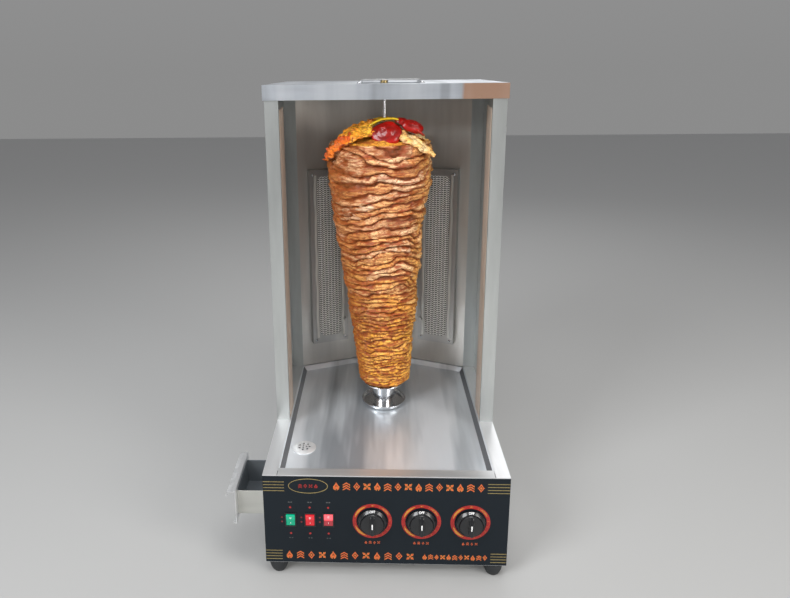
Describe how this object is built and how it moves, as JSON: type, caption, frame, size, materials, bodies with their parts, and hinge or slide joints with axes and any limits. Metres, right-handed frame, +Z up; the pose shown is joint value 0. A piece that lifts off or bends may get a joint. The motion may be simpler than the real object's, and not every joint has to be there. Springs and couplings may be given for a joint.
{
  "type": "vertical rotisserie broiler",
  "caption": "Counter-top gas rotisserie broiler with a turning upright spit, radiant burners in a steel niche, fat tray, pull-out fat drawer, rocker switches and gas knobs.",
  "frame": {"origin": "on the spit's axis at table level, under the feet", "axes": "+X to the cook's right, +Y from the cook to the back, +Z up along the spit"},
  "size_m": [0.5644, 0.6375, 0.97],
  "materials": {
    "stainless": "brushed",
    "chrome_plate": "polished",
    "overlay_black": "satin",
    "black_rubber": "matte",
    "black_plastic": "gloss",
    "green_plastic": "translucent gloss",
    "red_plastic": "translucent gloss",
    "lit_red_plastic": "lit",
    "ceramic": "matte",
    "mesh_steel": "heat stained",
    "screw_steel": "bright",
    "brass": "machined",
    "pipe_aluminium": "drawn",
    "motor_paint": "semi gloss",
    "drawer_steel": "dull",
    "meat": "roasted"
  },
  "bodies": {
    "machine_case": {"bottom_plate": "stainless", "front_panel": "stainless", "control_overlay": "overlay_black", "left_side_panel": "stainless", "right_side_panel": "stainless", "left_column": "stainless", "right_column": "stainless", "rear_cover": "stainless", "roof_cover": "stainless", "roof_underplate": "stainless", "top_bearing_plate": "stainless", "top_bush": "brass", "burner_wall": "stainless", "tray_pan": "stainless", "rubber_feet": "black_rubber", "foot_screws": "screw_steel", "case_screws": "screw_steel", "left_burner_body": "mesh_steel", "centre_burner_body": "mesh_steel", "right_burner_body": "mesh_steel", "burner_frames": "mesh_steel", "burner_meshes": "mesh_steel", "ceramic_plaques": "ceramic", "thermocouples": "chrome_plate", "burner_screws": "screw_steel", "gas_injectors": "brass", "left_gas_pipe": "pipe_aluminium", "centre_gas_pipe": "pipe_aluminium", "right_gas_pipe": "pipe_aluminium", "gas_manifold": "pipe_aluminium", "left_gas_valve": "pipe_aluminium", "centre_gas_valve": "pipe_aluminium", "right_gas_valve": "pipe_aluminium", "gas_inlet": "brass", "motor_bracket": "stainless", "gearmotor": "motor_paint", "drawer_guides": "stainless", "switch_housings": "black_plastic", "cord_gland": "black_plastic"},
    "hub": {"hub_post": "chrome_plate", "hub_dish": "chrome_plate"},
    "spit": {"spit_socket": "chrome_plate", "spit_disc": "chrome_plate", "spit_rod": "chrome_plate", "meat_cone": "meat"},
    "drawer": {"drawer_box": "drawer_steel", "drawer_front": "drawer_steel"},
    "strainer": {"drain_strainer": "chrome_plate"},
    "left_rocker": {"left_rocker": "green_plastic"},
    "middle_rocker": {"middle_rocker": "red_plastic"},
    "right_rocker": {"right_rocker": "lit_red_plastic"},
    "left_plunger": {"left_valve_plunger": "brass"},
    "left_knob": {"left_knob": "black_plastic", "left_valve_spindle": "brass"},
    "centre_plunger": {"centre_valve_plunger": "brass"},
    "centre_knob": {"centre_knob": "black_plastic", "centre_valve_spindle": "brass"},
    "right_plunger": {"right_valve_plunger": "brass"},
    "right_knob": {"right_knob": "black_plastic", "right_valve_spindle": "brass"}
  },
  "joints": [
    {"name": "hub_spin", "type": "hinge", "parent": "machine_case", "child": "hub", "pos_m": [0, 0, 0.2], "axis": [0, 0, 1], "continuous": true},
    {"name": "spit_lift", "type": "slide", "parent": "hub", "child": "spit", "axis": [0, 0, 1], "range_m": [0, 0.028]},
    {"name": "drawer_slide", "type": "slide", "parent": "machine_case", "child": "drawer", "axis": [-1, 0, 0], "range_m": [-0.0575, 0.055]},
    {"name": "strainer_lift", "type": "slide", "parent": "machine_case", "child": "strainer", "axis": [0, 0, 1], "range_m": [0, 0.02]},
    {"name": "left_rocker_tilt", "type": "hinge", "parent": "machine_case", "child": "left_rocker", "pos_m": [-0.1875, -0.314, 0.13], "axis": [1, 0, 0], "range_deg": [-14, 0]},
    {"name": "middle_rocker_tilt", "type": "hinge", "parent": "machine_case", "child": "middle_rocker", "pos_m": [-0.149, -0.314, 0.13], "axis": [1, 0, 0], "range_deg": [-14, 0]},
    {"name": "right_rocker_tilt", "type": "hinge", "parent": "machine_case", "child": "right_rocker", "pos_m": [-0.1125, -0.314, 0.13], "axis": [1, 0, 0], "range_deg": [0, 14]},
    {"name": "left_knob_push", "type": "slide", "parent": "machine_case", "child": "left_plunger", "axis": [0, 1, 0], "range_m": [0, 0.004], "stiffness_N_per_m": 500, "springref_m": -0.004},
    {"name": "left_knob_turn", "type": "hinge", "parent": "left_plunger", "child": "left_knob", "pos_m": [-0.026, -0.33, 0.129], "axis": [0, 1, 0], "range_deg": [-180, 0]},
    {"name": "centre_knob_push", "type": "slide", "parent": "machine_case", "child": "centre_plunger", "axis": [0, 1, 0], "range_m": [0, 0.004], "stiffness_N_per_m": 500, "springref_m": -0.004},
    {"name": "centre_knob_turn", "type": "hinge", "parent": "centre_plunger", "child": "centre_knob", "pos_m": [0.07, -0.33, 0.129], "axis": [0, 1, 0], "range_deg": [-180, 0]},
    {"name": "right_knob_push", "type": "slide", "parent": "machine_case", "child": "right_plunger", "axis": [0, 1, 0], "range_m": [0, 0.004], "stiffness_N_per_m": 500, "springref_m": -0.004},
    {"name": "right_knob_turn", "type": "hinge", "parent": "right_plunger", "child": "right_knob", "pos_m": [0.166, -0.33, 0.129], "axis": [0, 1, 0], "range_deg": [-180, 0]}
  ]
}
